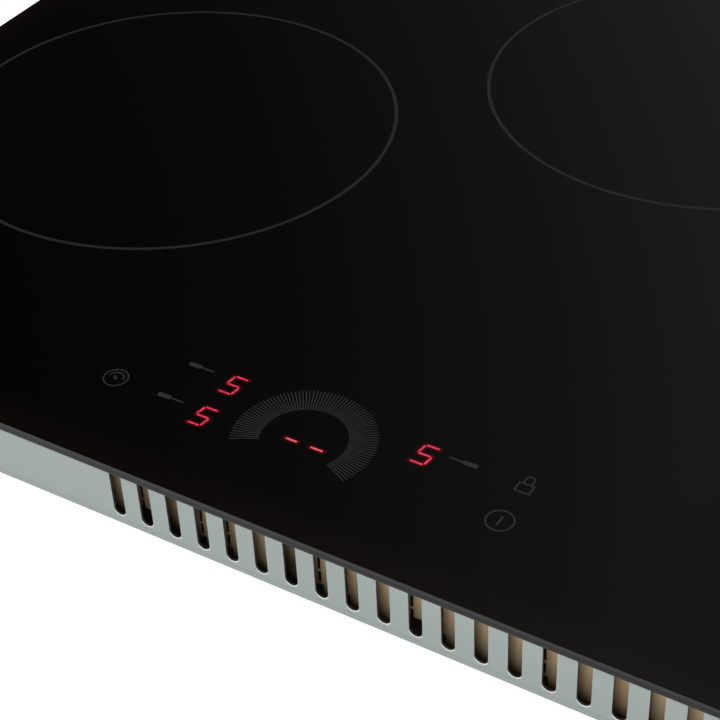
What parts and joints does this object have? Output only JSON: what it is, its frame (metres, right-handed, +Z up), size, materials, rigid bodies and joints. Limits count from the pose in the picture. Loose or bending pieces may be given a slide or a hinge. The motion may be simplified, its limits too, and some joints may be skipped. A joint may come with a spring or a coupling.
{
  "type": "induction cooktop",
  "caption": "Built-in induction cooktop: black glass plate with touch slider over a slotted sheet-steel case holding coils, boards, blowers and swivel clamps.",
  "frame": {"origin": "middle of the underside of the case floor", "axes": "+X to the user's right, +Y to the back, +Z up out of the glass"},
  "size_m": [0.59, 0.52, 0.049],
  "materials": {
    "ceramic_glass": "polished black ceramic glass",
    "foam_seal": "closed-cell foam",
    "silicone": "cured silicone",
    "case_steel": "zinc-coated steel sheet",
    "mica_board": "pressed mica board",
    "aluminium_sheet": "mill finish",
    "sensor_plastic": "moulded",
    "circuit_board": "solder mask",
    "carrier_plastic": "moulded",
    "display_module": "moulded",
    "ribbon": "extruded",
    "copper_winding": "enamelled copper",
    "capacitor_case": "moulded",
    "transistor_case": "moulded",
    "terminal_plastic": "moulded",
    "brass_screw": "plain",
    "zinc_screw": "zinc plated",
    "ferrite": "sintered",
    "blower_plastic": "moulded",
    "motor_steel": "plain",
    "clamp_steel": "zinc plated"
  },
  "bodies": {
    "case": {"base_tray": "case_steel", "blower_housing_left": "blower_plastic", "blower_housing_right": "blower_plastic", "blower_motor_left": "motor_steel", "blower_motor_right": "motor_steel", "board_standoffs": "carrier_plastic", "bonding_bead": "silicone", "cable_entry_plate": "terminal_plastic", "cable_gland": "terminal_plastic", "case_screws": "zinc_screw", "centre_display": "display_module", "clamp_nuts": "zinc_screw", "clamp_screws": "zinc_screw", "coil_carrier": "aluminium_sheet", "coil_former_left": "carrier_plastic", "coil_former_rear": "carrier_plastic", "coil_former_right": "carrier_plastic", "coil_spacers": "silicone", "coil_winding_left": "copper_winding", "coil_winding_rear": "copper_winding", "coil_winding_right": "copper_winding", "digit_displays": "display_module", "ferrite_bars_left": "ferrite", "ferrite_bars_rear": "ferrite", "ferrite_bars_right": "ferrite", "filter_board": "circuit_board", "filter_choke": "copper_winding", "front_liner": "mica_board", "gland_nut": "terminal_plastic", "glass_plate": "ceramic_glass", "heat_sink_left": "aluminium_sheet", "heat_sink_right": "aluminium_sheet", "mica_sheet_left": "mica_board", "mica_sheet_rear": "mica_board", "mica_sheet_right": "mica_board", "power_board_left": "circuit_board", "power_board_right": "circuit_board", "power_transistors_left": "transistor_case", "power_transistors_right": "transistor_case", "resonance_capacitors_left": "capacitor_case", "resonance_capacitors_right": "capacitor_case", "ribbon_cable": "ribbon", "slider_electrode": "foam_seal", "suppression_capacitors": "capacitor_case", "temperature_sensors": "sensor_plastic", "terminal_block": "carrier_plastic", "terminal_box": "terminal_plastic", "terminal_screws": "brass_screw", "touch_board": "circuit_board", "touch_board_carrier": "carrier_plastic", "touch_pads": "foam_seal", "worktop_seal": "foam_seal"},
    "impeller_left": {"blower_impeller_left": "blower_plastic"},
    "impeller_right": {"blower_impeller_right": "blower_plastic"},
    "claw_front_left": {"clamp_claw_front_left": "clamp_steel"},
    "claw_front_right": {"clamp_claw_front_right": "clamp_steel"},
    "claw_rear_left": {"clamp_claw_rear_left": "clamp_steel"},
    "claw_rear_right": {"clamp_claw_rear_right": "clamp_steel"},
    "lid": {"terminal_lid": "terminal_plastic"}
  },
  "joints": [
    {"name": "blower_spin_left", "type": "hinge", "parent": "case", "child": "impeller_left", "pos_m": [0.036, 0.099, 0.015], "axis": [0, 0, 1], "continuous": true},
    {"name": "blower_spin_right", "type": "hinge", "parent": "case", "child": "impeller_right", "pos_m": [0.168, 0.099, 0.015], "axis": [0, 0, 1], "continuous": true},
    {"name": "clamp_swing_front_left", "type": "hinge", "parent": "case", "child": "claw_front_left", "pos_m": [-0.2645, -0.126, 0.003], "axis": [0, 0, -1], "range_deg": [0, 90]},
    {"name": "clamp_swing_front_right", "type": "hinge", "parent": "case", "child": "claw_front_right", "pos_m": [0.2645, -0.126, 0.003], "axis": [0, 0, 1], "range_deg": [0, 90]},
    {"name": "clamp_swing_rear_left", "type": "hinge", "parent": "case", "child": "claw_rear_left", "pos_m": [-0.2645, 0.126, 0.003], "axis": [0, 0, 1], "range_deg": [0, 90]},
    {"name": "clamp_swing_rear_right", "type": "hinge", "parent": "case", "child": "claw_rear_right", "pos_m": [0.2645, 0.126, 0.003], "axis": [0, 0, -1], "range_deg": [0, 90]},
    {"name": "lid_swing", "type": "hinge", "parent": "case", "child": "lid", "pos_m": [-0.18, 0.1859, 0.0018], "axis": [-1, 0, 0], "range_deg": [0, 90]}
  ]
}
